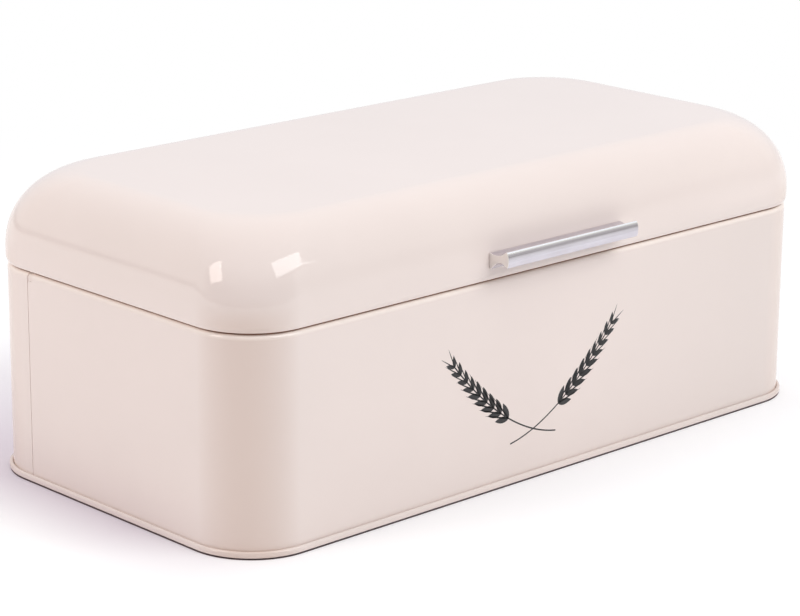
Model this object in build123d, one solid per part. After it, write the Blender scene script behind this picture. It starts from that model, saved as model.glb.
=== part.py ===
from build123d import *
import math
import os

# Bread box of enamelled sheet steel, its domed lid hinged at the back and lifted by a small
# aluminium grip. Millimetres, +Z up. X runs along the front from left to right, the front faces -Y,
# and the feet stand on z = 0. Wall sections are drawn as (distance outwards from the wall's outer
# face, height) and are carried round the box.

# Box
body_length = 420.0        # over the walls, left to right
body_depth = 210.0         # over the walls, front to back
body_height = 112.6        # table to the top of the rolled rim
corner_radius = 35.0       # upright corners, outside
sheet = 0.5                # steel sheet of walls, pan and lid
seam_gap = 0.05            # between sheets that are folded together

# Rolled rim at the top of the walls
rim_width = 8.0            # how far it reaches inwards
rim_bend = 3.0             # outside radius of the roll
rim_lip = 4.0              # turned-down edge, below the rim's top
lip_bend = 1.2             # outside radius where the edge turns down

# Upright side seams: the back panel steps inwards and lies inside the wrap's edge, so that the
# outer faces stay flush
seam_from_back = 41.0      # rear wall to the wrap's edge
seam_lap = 8.0             # overlap of the two sheets
seam_groove = 0.4          # open line between the wrap's edge and the panel's step
step_run = 1.2             # length of the step, where the panel is double thick
seam_notch = 4.0           # the wrap's rim stops this much before its edge
seam_drop = 4.5            # the wrap's upper corner steps down this much there
seam_round = 1.6           # rounding of that step

# Pan and its bead round the foot of the walls
foot_proud = 0.6           # the feet lift the bead off the table
floor_rise = 4.0           # floor above the bead's underside
bead_height = 3.4
bead_reach = 2.1           # how far the bead stands out from the walls
bead_bend = 1.2            # rounding of the bead, outside
fold_bend = 0.8            # tight folds of the pan, outside
hook_rise = 1.5            # free end of the bead's hook, above the bead's underside

# Air holes in the back panel
vent_count = 9
vent_pitch = 14.0
vent_radius = 2.0
vent_drop = 25.0           # below the rim

# Lid
lid_gap = 0.8              # shadow gap between the rim and the lid
lid_overhang = 0.8         # lid beyond the walls, all round
band_height = 7.6          # upright band above the lid's lower edge
dome_rise = 40.5           # height of the pressed shoulder, from the band to the flat top
dome_run = 30.0            # how far the shoulder leans in
lid_rim_bend = 1.3         # outside radius where the lid's lower edge turns inwards
lid_lip = 4.0              # turned-up edge inside the lid
dome_slices = 8            # slices that shape the shoulder

# Grip
grip_length = 97.0
grip_depth = 13.6          # out from the lid
grip_height = 8.2          # back flange and front lip alike
grip_lift = 1.8            # the front lip sits this much higher than the back flange
grip_rise = 6.3            # lid's lower edge to the back flange
grip_edge = 1.2            # flat edge of the back flange
lip_edge = 1.7             # flat edge of the front lip
grip_dip = 1.5             # hollow along the top
grip_arch = 3.0            # hollow along the underside, where the fingers pull
lip_crown = 0.6            # the front face bulges this much
lip_round = 1.0            # rounding of the front lip's upper edge
edge_break = 0.3           # other edges of the extrusion

# Screws of the grip
screw_from_end = 16.5      # grip's end to a screw
screw_radius = 1.45        # shank, over the thread
screw_above_middle = 1.2   # screw axis above the middle of the back flange
screw_reach = 4.0          # thread held in the grip
screw_head_radius = 2.8
screw_head_height = 1.8
recess_length = 3.0        # cross recess in the head
recess_width = 0.7
recess_depth = 0.9
washer_radius = 3.5
washer_thickness = 0.5
thread_gap = 0.05          # between shank and tapped hole
hole_gap = 0.25            # between shank and the holes it passes through
grip_seat_gap = 0.05       # flat back flange on the curved lid
washer_seat_gap = 0.25     # flat washer in the curved lid

# Hinges
hinge_from_end = 80.0      # end walls to the middle of a hinge
leaf_width = 36.0
leaf_thickness = 1.2
knuckle_radius = 2.5
middle_knuckle = 13.7      # the lid leaf's knuckle, between the body leaf's two
knuckle_gap = 0.3          # between neighbouring knuckles, along the pin
leaf_gap = 0.6             # between a leaf's edge and the other leaf's knuckle
pin_radius = 1.25
running_gap = 0.05         # pin to knuckle bore
pin_head_radius = 2.1
pin_head_thickness = 0.8
pin_end_play = 0.1
body_leaf_drop = 21.5      # pin axis to the lower edge of the body leaf
lid_leaf_rise = 11.0       # pin axis to the upper edge of the lid leaf
step_top = 6.5             # the body leaf's step towards the wall, below the pin axis
step_foot = 10.5
step_bend = 1.5
open_angle = 100.0         # the stop tab meets the body leaf here
stop_reach = 5.6           # pin axis to the tab's end
stop_root = 1.5            # pin axis to where the tab leaves the bore's wall
stop_thickness = 1.2
stop_side_gap = 0.8        # tab narrower than its knuckle, each side
stop_gap = 0.05            # left between tab and leaf at the stop

# Rivets of the hinges
rivet_spacing = 20.0
rivet_radius = 1.5
rivet_hole_gap = 0.05
rivet_head_radius = 2.7
rivet_head_height = 1.0
rivet_tail_radius = 2.3
rivet_tail_height = 0.8
rivet_round = 0.6
rivet_lean_gap = 0.05      # flat tail inside the lid, where the lid starts to lean in
body_rivet_margin = 5.5    # lower edge of the body leaf to its rivets
lid_rivet_margin = 4.2     # upper edge of the lid leaf to its rivets

# Rubber feet and silicone bumpers
foot_radius = 6.0
foot_inset = 24.0          # walls to the middle of a foot
foot_round = 0.5
bumper_radius = 1.8
bumper_gap = 0.1           # left under the closed lid
bumper_inset = 4.9         # outer face of the wall to the middle of a bumper
front_bumper_from_end = 60.0
rear_bumper_margin = 16.0  # seam to the middle of a rear bumper

# What follows from the sizes above
half_length = body_length / 2
half_depth = body_depth / 2
bead_foot = foot_proud
floor_under = bead_foot + floor_rise
wall_foot = bead_foot + fold_bend + seam_gap
seam_y = half_depth - seam_from_back
lid_foot = body_height + lid_gap
dome_foot = lid_foot + band_height
lid_half_length = half_length + lid_overhang
lid_half_depth = half_depth + lid_overhang
lid_corner = corner_radius + lid_overhang
lid_rim_width = rim_width + lid_overhang
seat_z = lid_foot + grip_rise + grip_height / 2
seat_share = max(0, seat_z - dome_foot) / dome_rise
seat_inset = dome_run * (1 - math.sqrt(1 - seat_share ** 2))
seat_tilt = math.atan(dome_run / dome_rise * seat_share / math.sqrt(1 - seat_share ** 2))
pin_y = lid_half_depth + knuckle_radius
pin_z = body_height + lid_gap / 2
bore_radius = pin_radius + running_gap
body_rivet_z = pin_z - body_leaf_drop + body_rivet_margin
lid_rivet_z = pin_z + lid_leaf_rise - lid_rivet_margin
tail_share = max(0, lid_rivet_z + rivet_tail_radius - dome_foot) / (dome_rise - sheet)
tail_inset = rivet_lean_gap + (dome_run - sheet) * (1 - math.sqrt(1 - tail_share ** 2))

LEFT, RIGHT = -1, 1
FRONT, REAR = -1, 1


def section_plane(x, y, heading):
    """Upright plane at (x, y); its local x axis points along heading, in degrees, and its y axis up."""
    outwards = Vector(math.cos(math.radians(heading)), math.sin(math.radians(heading)), 0)
    return Plane(origin=(x, y, 0), x_dir=outwards, z_dir=outwards.cross(Vector(0, 0, 1)))


def bent_sheet(points, bends, thickness):
    """Section of a bent sheet. One face follows the points and the sheet lies to their left."""
    line = Wire(FilletPolyline(*points, radius=bends).edges())
    return make_face(line.offset_2d(thickness, side=Side.LEFT).edges())


def ring(section, length_half, depth_half, radius):
    """Carry a wall section once round the box, along straight runs and round the corners."""
    x = length_half - radius
    y = depth_half - radius
    side_section = section_plane(length_half, y, 0) * section
    rear_section = section_plane(0, depth_half, 90) * section
    side = extrude(side_section, amount=y, dir=(0, -1, 0))
    corner = revolve(side_section, axis=Axis((x, y, 0), (0, 0, 1)), revolution_arc=90)
    rear = extrude(rear_section, amount=x, dir=(1, 0, 0))
    quarter = side + corner + rear
    half = quarter + mirror(quarter, Plane.YZ)
    return half + mirror(half, Plane.XZ)


def along_y(radius, y_from, y_to, x, z):
    """Round bar along Y."""
    middle = Plane(origin=(x, y_from, z), z_dir=(0, 1, 0))
    return extrude(middle * Circle(radius), amount=y_to - y_from)


def along_x(radius, x_from, x_to):
    """Round bar along the hinges' pin axis."""
    end = Plane(origin=(x_from, pin_y, pin_z), z_dir=(1, 0, 0))
    return extrude(end * Circle(radius), amount=x_to - x_from)


def block(x_from, x_to, y_from, y_to, z_from, z_to):
    """Plain block between two corners, for cutting."""
    size = (x_to - x_from, y_to - y_from, z_to - z_from)
    return Pos((x_from + x_to) / 2, (y_from + y_to) / 2, (z_from + z_to) / 2) * Box(*size)


# Walls

def wall_section(depth_in):
    """Wall, rolled rim and turned-down lip, lying depth_in inside the box's outer face."""
    top = body_height - depth_in
    inner = depth_in - rim_width
    points = [(-depth_in, wall_foot), (-depth_in, top), (inner, top), (inner, body_height - rim_lip)]
    return bent_sheet(points, [rim_bend - depth_in, lip_bend - depth_in], sheet)


def front_wrap():
    """Front, both sides and the front corners in one bent sheet."""
    walls = ring(wall_section(0), half_length, half_depth, corner_radius)
    walls = split(walls, bisect_by=Plane(origin=(0, seam_y, 0), z_dir=(0, -1, 0)), keep=Keep.TOP)
    notch_front, notch_rear = seam_y - seam_notch, seam_y + seam_notch
    step = body_height - seam_drop
    above = body_height + rim_lip
    outline = [
        TangentArc((seam_y, step - seam_round), (seam_y - seam_round, step), tangent=(0, 1)),
        Line((seam_y - seam_round, step), (notch_front + seam_round, step)),
        TangentArc((notch_front + seam_round, step), (notch_front, step + seam_round),
                   tangent=(-1, 0)),
        Polyline((notch_front, step + seam_round), (notch_front, above), (notch_rear, above),
                 (notch_rear, step - seam_round), (seam_y, step - seam_round)),
    ]
    walls -= extrude(Plane.YZ * make_face(outline), amount=body_length, both=True)
    inside = half_length - rim_bend
    return walls - block(-inside, inside, notch_front, notch_rear,
                         step - rim_lip, body_height)


def behind(y):
    """Plane across the box that looks to the back."""
    return Plane(origin=(0, y, 0), z_dir=(0, 1, 0))


def back_panel():
    """Back and rear corners, with the side edges that step inwards and lie inside the wrap."""
    start = seam_y + seam_groove
    walls = ring(wall_section(0), half_length, half_depth, corner_radius)
    walls = split(walls, bisect_by=behind(start), keep=Keep.TOP)
    edges = ring(wall_section(sheet), half_length, half_depth, corner_radius)
    edges = split(edges, bisect_by=behind(seam_y - seam_lap), keep=Keep.TOP)
    walls += split(edges, bisect_by=behind(start + step_run), keep=Keep.BOTTOM)
    first = -vent_pitch * (vent_count - 1) / 2
    for i in range(vent_count):
        walls -= along_y(vent_radius, half_depth - rim_width, half_depth + rim_width,
                         first + i * vent_pitch, body_height - vent_drop)
    for side in (LEFT, RIGHT):
        for x in rivet_places(side):
            walls -= along_y(rivet_radius + rivet_hole_gap, half_depth - rim_width,
                             half_depth + rim_width, x, body_rivet_z)
    return walls


def base_pan():
    """Floor, leg inside the walls and the bead that is rolled up round their outside."""
    leg = -(3 * sheet + seam_gap)
    hook = seam_gap
    bead_top = bead_foot + bead_height
    points = [(-corner_radius, floor_under), (leg, floor_under), (leg, bead_foot),
              (bead_reach, bead_foot), (bead_reach, bead_top), (hook, bead_top),
              (hook, bead_foot + hook_rise)]
    bends = [fold_bend, fold_bend, bead_bend, bead_bend, fold_bend]
    rim = ring(bent_sheet(points, bends, sheet), half_length, half_depth, corner_radius)
    x = half_length - corner_radius
    y = half_depth - corner_radius
    return rim + block(-x, x, -y, y, floor_under, floor_under + sheet)


# Lid

def dome(depth_in):
    """Solid under the pressed shoulder and top, its face moved inwards by depth_in."""
    slices = []
    for i in range(dome_slices + 1):
        angle = math.radians(90 * i / dome_slices)
        inset = depth_in + (dome_run - depth_in) * (1 - math.cos(angle))
        outline = RectangleRounded(2 * (lid_half_length - inset), 2 * (lid_half_depth - inset),
                                   lid_corner - depth_in)
        slices.append(Pos(0, 0, dome_foot + (dome_rise - depth_in) * math.sin(angle)) * outline)
    return loft(slices)


def lid_shell():
    """Pressed lid: dome, upright band and the lower edge that turns in and up."""
    points = [(-lid_rim_width, lid_foot + lid_lip), (-lid_rim_width, lid_foot), (0, lid_foot),
              (0, dome_foot)]
    band = ring(bent_sheet(points, [lip_bend, lid_rim_bend], sheet),
                lid_half_length, lid_half_depth, lid_corner)
    shell = dome(0) - dome(sheet) + band
    for side in (LEFT, RIGHT):
        shell -= grip_seat * out_of_lid(screw_radius + hole_gap, side, -rim_width, rim_width)
        for x in rivet_places(side):
            shell -= along_y(rivet_radius + rivet_hole_gap, lid_half_depth - rim_width,
                             lid_half_depth + rim_width, x, lid_rivet_z)
    return shell


# Grip and its fasteners. They lean back with the lid: in their own frame x runs along the lid's
# front, y up its face and z out of it, from the point where the back flange touches.

grip_seat = Plane(origin=(0, seat_inset - lid_half_depth, seat_z), x_dir=(1, 0, 0),
                  z_dir=(0, -math.cos(seat_tilt), math.sin(seat_tilt)))


def screw_x(side):
    """Axis of a screw along the grip."""
    return side * (grip_length / 2 - screw_from_end)


def out_of_lid(radius, side, start, end):
    """Round bar on a screw's axis, between two distances out from the lid's face."""
    disc = Cylinder(radius, end - start, align=(Align.CENTER, Align.CENTER, Align.MIN))
    return Pos(screw_x(side), screw_above_middle, start) * disc


def grip_section():
    """Extruded section: a back flange and a raised front lip, joined by a waist hollow on both sides."""
    flange_top = grip_height / 2
    lip_top = flange_top + grip_lift
    lip_foot = lip_top - grip_height
    front = grip_seat_gap + grip_depth
    face = front - lip_crown
    middle = grip_seat_gap + grip_depth / 2
    flange = grip_seat_gap + grip_edge
    lip = front - lip_edge
    toe = front - grip_edge
    outline = [
        Line((-flange_top, grip_seat_gap), (flange_top, grip_seat_gap)),
        Line((flange_top, grip_seat_gap), (flange_top, flange)),
        ThreePointArc((flange_top, flange), (flange_top + grip_lift / 2 - grip_dip, middle),
                      (lip_top, lip)),
        Line((lip_top, lip), (lip_top, face)),
        ThreePointArc((lip_top, face), ((lip_top + lip_foot) / 2, front), (lip_foot, face)),
        Line((lip_foot, face), (lip_foot, toe)),
        ThreePointArc((lip_foot, toe), (grip_lift / 2 + grip_arch - flange_top, middle),
                      (-flange_top, flange)),
        Line((-flange_top, flange), (-flange_top, grip_seat_gap)),
    ]
    section = make_face(outline)
    upper = section.vertices().sort_by_distance((lip_top, face))[0]
    section = fillet(upper, lip_round)
    lower = section.vertices().sort_by_distance((lip_foot, face))[0]
    return fillet(lower, edge_break)


def handle_grip():
    """Grip with two tapped holes in its back flange."""
    grip = extrude(Plane.YZ * grip_section(), amount=grip_length / 2, both=True)
    for side in (LEFT, RIGHT):
        grip -= out_of_lid(screw_radius + thread_gap, side, 0, screw_reach + thread_gap)
    return grip_seat * grip


def handle_washer(side):
    """Flat washer against the inside of the lid."""
    face = -sheet - washer_seat_gap
    disc = out_of_lid(washer_radius, side, face - washer_thickness, face)
    return grip_seat * (disc - out_of_lid(screw_radius + hole_gap, side, face - washer_thickness, face))


def handle_screw(side):
    """Machine screw from inside the lid, with a cross recess in its rounded head."""
    seat = -sheet - washer_seat_gap - washer_thickness
    head_end = seat - screw_head_height
    head = out_of_lid(screw_head_radius, side, head_end, seat)
    head = fillet(head.edges().group_by(Axis.Z)[0], screw_head_height / 2)
    shank = out_of_lid(screw_radius, side, seat, screw_reach)
    slot = Box(recess_length, recess_width, 2 * recess_depth)
    cross = slot + Rot(0, 0, 90) * slot
    recess = Pos(screw_x(side), screw_above_middle, head_end) * cross
    return grip_seat * (head + shank - recess)


# Hinges

def hinge_x(side):
    """Middle of a hinge."""
    return side * (half_length - hinge_from_end)


def rivet_places(side):
    """Where the rivets of one leaf lie along X."""
    return [hinge_x(side) - rivet_spacing / 2, hinge_x(side) + rivet_spacing / 2]


def rivet_row(side, face_y, back_y, z):
    """Two rivets with a round head outside face_y and a flat tail inside back_y."""
    rivets = []
    for x in rivet_places(side):
        head = along_y(rivet_head_radius, face_y, face_y + rivet_head_height, x, z)
        head = fillet(head.edges().group_by(Axis.Y)[-1], rivet_round)
        tail = along_y(rivet_tail_radius, back_y - rivet_tail_height, back_y, x, z)
        rivets.append(head + tail + along_y(rivet_radius, back_y, face_y, x, z))
    return Compound([rivet.solid() for rivet in rivets])


def rivet_holes(side, z):
    """What is cut from a leaf for its rivets."""
    first, second = rivet_places(side)
    hole = rivet_radius + rivet_hole_gap
    return (along_y(hole, half_depth - rim_width, pin_y, first, z)
            + along_y(hole, half_depth - rim_width, pin_y, second, z))


def body_leaf(side):
    """Lower leaf: on the back panel, stepped out below the lid's overhang, with the outer knuckles."""
    x = hinge_x(side)
    low, high = x - leaf_width / 2, x + leaf_width / 2
    points = [(lid_overhang, pin_z), (lid_overhang, pin_z - step_top),
              (0, pin_z - step_foot), (0, pin_z - body_leaf_drop)]
    section = section_plane(low, half_depth, 90) * bent_sheet(points, [step_bend, step_bend],
                                                              leaf_thickness)
    leaf = extrude(section, amount=leaf_width, dir=(1, 0, 0))
    gap = middle_knuckle / 2 + knuckle_gap
    leaf -= block(x - gap, x + gap, half_depth, pin_y + knuckle_radius,
                  pin_z - knuckle_radius - leaf_gap, pin_z + knuckle_radius)
    leaf += along_x(knuckle_radius, low, x - gap) + along_x(knuckle_radius, x + gap, high)
    return leaf - along_x(bore_radius, low, high) - rivet_holes(side, body_rivet_z)


def stop_tab(side):
    """Tab on the lid leaf's knuckle, drawn where it meets the body leaf and turned back to rest."""
    half_width = middle_knuckle / 2 - stop_side_gap
    front = lid_half_depth + leaf_thickness + stop_gap
    x = hinge_x(side)
    tab = block(x - half_width, x + half_width, front, front + stop_thickness,
                pin_z - stop_reach, pin_z - stop_root)
    return tab.rotate(Axis((0, pin_y, pin_z), (1, 0, 0)), open_angle)


def lid_leaf(side):
    """Upper leaf: on the lid's rear band, with the middle knuckle and the stop tab."""
    x = hinge_x(side)
    low, high = x - leaf_width / 2, x + leaf_width / 2
    half_knuckle = middle_knuckle / 2
    front, rear = lid_half_depth, lid_half_depth + leaf_thickness
    plate_foot = pin_z + knuckle_radius + leaf_gap
    leaf = block(low, high, front, rear, plate_foot, pin_z + lid_leaf_rise)
    leaf += block(x - half_knuckle, x + half_knuckle, front, rear, pin_z, plate_foot)
    leaf += along_x(knuckle_radius, x - half_knuckle, x + half_knuckle) + stop_tab(side)
    return leaf - along_x(bore_radius, low, high) - rivet_holes(side, lid_rivet_z)


def hinge_pin(side):
    """Pin with a flattened head at each end."""
    x = hinge_x(side)
    reach = leaf_width / 2 + pin_end_play
    end = reach + pin_head_thickness
    return (along_x(pin_radius, x - reach, x + reach)
            + along_x(pin_head_radius, x - end, x - reach)
            + along_x(pin_head_radius, x + reach, x + end))


# Feet and bumpers

def foot(side, end):
    """Rubber foot under the floor."""
    disc = Cylinder(foot_radius, floor_under, align=(Align.CENTER, Align.CENTER, Align.MIN))
    disc = fillet(disc.edges().group_by(Axis.Z)[0], foot_round)
    return Pos(side * (half_length - foot_inset), end * (half_depth - foot_inset), 0) * disc


def bumper(x, y):
    """Silicone dot on the rim, under the closed lid."""
    dot = Cylinder(bumper_radius, lid_gap - bumper_gap,
                   align=(Align.CENTER, Align.CENTER, Align.MIN))
    return Pos(x, y, body_height) * dot


pieces = {
    "front_wrap": front_wrap(),
    "back_panel": back_panel(),
    "base_pan": base_pan(),
    "lid_shell": lid_shell(),
    "handle_grip": handle_grip(),
}
for side, word in ((LEFT, "left"), (RIGHT, "right")):
    pieces[f"handle_screw_{word}"] = handle_screw(side)
    pieces[f"handle_washer_{word}"] = handle_washer(side)
    pieces[f"hinge_{word}_body_leaf"] = body_leaf(side)
    pieces[f"hinge_{word}_lid_leaf"] = lid_leaf(side)
    pieces[f"hinge_{word}_pin"] = hinge_pin(side)
    pieces[f"hinge_{word}_body_rivets"] = rivet_row(
        side, half_depth + leaf_thickness, half_depth - sheet, body_rivet_z)
    pieces[f"hinge_{word}_lid_rivets"] = rivet_row(
        side, lid_half_depth + leaf_thickness, lid_half_depth - sheet - tail_inset, lid_rivet_z)
    for end, place in ((FRONT, "front"), (REAR, "rear")):
        pieces[f"foot_{place}_{word}"] = foot(side, end)
    pieces[f"bumper_front_{word}"] = bumper(side * (half_length - front_bumper_from_end),
                                            -half_depth + bumper_inset)
    pieces[f"bumper_rear_{word}"] = bumper(side * (half_length - bumper_inset),
                                           seam_y - rear_bumper_margin)

# The origin is under the middle of everything, grip and hinges included.
whole = Compound([solid for piece in pieces.values() for solid in piece.solids()]).bounding_box()
middle_y = (whole.min.Y + whole.max.Y) / 2
os.makedirs("parts", exist_ok=True)
for name, piece in pieces.items():
    export_step(Pos(0, -middle_y, 0) * piece, f"parts/{name}.step")
print("depth over all", round(whole.size.Y, 2), "pin axis at y", round(pin_y - middle_y, 3),
      "z", pin_z)
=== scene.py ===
import math

import bmesh
import bpy
from mathutils import Matrix, Vector


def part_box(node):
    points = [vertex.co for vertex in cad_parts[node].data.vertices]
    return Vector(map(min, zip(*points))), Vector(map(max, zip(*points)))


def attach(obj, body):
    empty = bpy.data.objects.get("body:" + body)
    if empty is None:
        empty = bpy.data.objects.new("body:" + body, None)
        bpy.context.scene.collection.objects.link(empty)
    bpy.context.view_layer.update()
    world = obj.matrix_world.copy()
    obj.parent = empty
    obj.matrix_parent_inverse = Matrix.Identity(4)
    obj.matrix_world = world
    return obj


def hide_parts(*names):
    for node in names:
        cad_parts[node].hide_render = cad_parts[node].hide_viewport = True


# Looks of an enamelled bread box with a domed lid. Metres, in the frame's axes: X runs along the
# front from left to right, the front faces -Y and the box stands on z = 0.

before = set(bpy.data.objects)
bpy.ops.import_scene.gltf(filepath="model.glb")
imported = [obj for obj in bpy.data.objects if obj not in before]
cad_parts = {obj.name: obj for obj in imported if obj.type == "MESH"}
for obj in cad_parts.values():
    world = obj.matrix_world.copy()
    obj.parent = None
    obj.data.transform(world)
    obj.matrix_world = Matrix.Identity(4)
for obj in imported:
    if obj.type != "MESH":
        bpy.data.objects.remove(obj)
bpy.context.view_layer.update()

MM = 0.001
WELD = 0.001 * MM           # points closer than this are one point

# Places taken from the frame
wrap_low, wrap_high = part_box("front_wrap")
lid_low, lid_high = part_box("lid_shell")
pan_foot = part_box("base_pan")[0].z
grip_low, grip_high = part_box("handle_grip")
middle_y = (lid_low.y + lid_high.y) / 2
half_length = wrap_high.x
half_depth = middle_y - wrap_low.y
wall_front = wrap_low.y
wall_foot = wrap_low.z
body_height = wrap_high.z
seam_y = wrap_high.y
panel_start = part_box("back_panel")[0].y
lid_half_length = lid_high.x
lid_half_depth = lid_high.y - middle_y
lid_overhang = lid_half_length - half_length
lid_foot, lid_top = lid_low.z, lid_high.z

# Sheet metal
sheet = 0.5 * MM
seam_gap = 0.05 * MM
corner_radius = 35 * MM
rim_width, rim_bend, rim_lip, lip_bend = 8 * MM, 3 * MM, 4 * MM, 1.2 * MM
seam_notch, seam_drop, seam_round = 4 * MM, 4.5 * MM, 1.6 * MM
seam_groove, step_run = 0.4 * MM, 1.2 * MM
floor_rise, bead_height, bead_reach = 4 * MM, 3.4 * MM, 2.1 * MM
bead_bend, fold_bend, hook_rise = 1.2 * MM, 0.8 * MM, 1.5 * MM
band_height, dome_run = 7.6 * MM, 30 * MM
lid_fold_bend, lid_lip = 0.5 * MM, 4 * MM
turn_in, turn_height, turn_bend = 0.8 * MM, 2.2 * MM, 4 * MM   # last part of the lid's lower edge
top_margin = 3 * MM         # flat ring kept round the lid's top, so that it shades flat
bend_step = math.radians(9)
crease_angle = math.radians(35)
corner_steps = 24
dome_steps = 24

# Grip
grip_length, grip_depth, grip_height = 97 * MM, 13.6 * MM, 8.2 * MM
grip_rise, grip_lift, grip_edge, lip_edge = 6.3 * MM, 1.8 * MM, 1.2 * MM, 1.7 * MM
grip_dip, grip_arch, lip_crown, lip_round = 1.5 * MM, 3 * MM, 1 * MM, 1 * MM
grip_gap, edge_break = 0.05 * MM, 0.3 * MM
hollow_steps, crown_steps = 14, 12

# Broken edges of the hinges, and of the screws and washers
leaf_break, screw_break = 0.15 * MM, 0.08 * MM
bevel_angle = math.radians(40)              # corners sharper than this are broken

# Rivets, feet and air holes
rivet_spacing = 20 * MM
rivet_head, rivet_height, rivet_rise = 2.7 * MM, 1 * MM, 0.35 * MM
rivet_grip, rivet_tail, rivet_tail_height = 1.85 * MM, 2.3 * MM, 0.7 * MM
rivet_shank, tail_taper, rim_share = rivet_head * 0.55, 0.85, 0.6
foot_round, foot_wall, foot_hollow = 0.8 * MM, 2.6 * MM, 0.7 * MM
turned_steps = 8            # columns to each quarter of a small round piece
vent_count, vent_pitch, vent_radius, vent_drop = 9, 14 * MM, 2 * MM, 25 * MM

# Where the enamel's tone changes, and where shade and highlight are painted into it. Each pair is where
# a change starts and where it is complete.
# how strongly shade is painted round the corners
corner_shade_gain = 2.0
corner_shade_top = 115 * MM, 132 * MM        # heights over which the shade painted round the corners ends
right_shade_run = 20 * MM, 160 * MM          # x over which shade is painted into the walls, deepening to their right end
right_shade_top = 112 * MM, 124 * MM         # heights over which that painted shade ends
roll_highlight_drop = rim_bend, 0.9 * MM         # under the walls' top, for the highlight painted on their upper roll
roll_highlight_depth = 6 * MM, 4 * MM            # inwards of the walls' face
gap_shade_reach = 0.45 * MM, 0.9 * MM        # up and down from the gap's middle, for the shade painted in the gap
gap_shade_depth = 3.2 * MM, 2.4 * MM         # inwards of the walls' face

# Where a highlight is painted along the grip's upper edge
edge_highlight_drop = 1.5 * MM, 0.8 * MM         # under its highest point
edge_highlight_depth = 2.4 * MM, 1.6 * MM        # behind its foremost point
# Depth of the sawn ends: rougher metal, with a painted brightening of their colour
sawn_depth = 0.2 * MM


# Node trees

class Wire:
    """A node's output that can stand in sums, products and quotients like a number."""

    def __init__(self, graph, socket):
        self.graph, self.socket = graph, socket

    def __add__(self, other):
        return self.graph.math("ADD", self, other)

    def __sub__(self, other):
        return self.graph.math("SUBTRACT", self, other)

    def __rsub__(self, other):
        return self.graph.math("SUBTRACT", other, self)

    def __mul__(self, other):
        return self.graph.math("MULTIPLY", self, other)

    def __truediv__(self, other):
        return self.graph.math("DIVIDE", self, other)

    def __pow__(self, other):
        return self.graph.math("POWER", self, other)

    def __mod__(self, other):
        return self.graph.math("FLOORED_MODULO", self, other)

    __radd__, __rmul__ = __add__, __mul__


class Graph:
    """A shader or geometry tree under construction."""

    def __init__(self, tree):
        self.tree = tree
        self.entry = None

    def node(self, kind, settings=None, sockets=None, out=0):
        """Adds a node: its settings come first, then the values or wires of its sockets."""
        made = self.tree.nodes.new(kind)
        for name, value in (settings or {}).items():
            setattr(made, name, value)
        for name, value in (sockets or {}).items():
            if isinstance(value, Wire):
                self.tree.links.new(value.socket, made.inputs[name])
            else:
                made.inputs[name].default_value = value
        return Wire(self, made.outputs[out]) if len(made.outputs) else made

    def math(self, operation, *values):
        return self.node("ShaderNodeMath", {"operation": operation}, dict(enumerate(values)))

    def between(self, value, low, high, to_low=0.0, to_high=1.0, ease="LINEAR"):
        """Maps a value's range from low..high to to_low..to_high, and holds it there."""
        return self.node("ShaderNodeMapRange", {"interpolation_type": ease}, {
            "Value": value, "From Min": low, "From Max": high, "To Min": to_low, "To Max": to_high})

    def mix(self, share, a, b):
        return self.node("ShaderNodeMix", {"data_type": "RGBA"}, {0: share, 6: a, 7: b}, 2)

    def join(self, x, y, z):
        return self.node("ShaderNodeCombineXYZ", None, {0: x, 1: y, 2: z})

    def split(self, vector):
        parts = self.node("ShaderNodeSeparateXYZ", None, {0: vector}).socket.node
        return [Wire(self, socket) for socket in parts.outputs]

    def given(self, name, kind):
        """A named input of a geometry tree."""
        self.tree.interface.new_socket(name, in_out="INPUT", socket_type="NodeSocket" + kind)
        if self.entry is None:
            self.entry = self.tree.nodes.new("NodeGroupInput")
        return Wire(self, self.entry.outputs[name])

    def result(self, geometry, material):
        """Ends a geometry tree: real geometry, with its material."""
        real = self.node("GeometryNodeRealizeInstances", None, {"Geometry": geometry})
        dressed = self.node("GeometryNodeSetMaterial", None, {"Geometry": real, "Material": material})
        self.tree.interface.new_socket("Geometry", in_out="OUTPUT", socket_type="NodeSocketGeometry")
        self.tree.links.new(dressed.socket, self.tree.nodes.new("NodeGroupOutput").inputs[0])
        return self


def geometry_graph(name):
    return Graph(bpy.data.node_groups.new(name, "GeometryNodeTree"))


def grown(start, graph, **given):
    """The plain mesh that a geometry tree makes from a starting mesh and its named inputs."""
    helper = bpy.data.objects.new("helper", start)
    bpy.context.scene.collection.objects.link(helper)
    modifier = helper.modifiers.new("Shape", "NODES")
    modifier.node_group = graph.tree
    named = {name.replace("_", " "): value for name, value in given.items()}
    for item in graph.tree.interface.items_tree:
        if item.in_out == "INPUT" and item.name in named:
            modifier[item.identifier] = named[item.name]
    return taken(helper)


def taken(helper):
    """The evaluated mesh of a helper object, which is then removed."""
    view = bpy.context.evaluated_depsgraph_get()
    mesh = bpy.data.meshes.new_from_object(helper.evaluated_get(view), depsgraph=view)
    bpy.data.objects.remove(helper)
    return mesh


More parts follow.
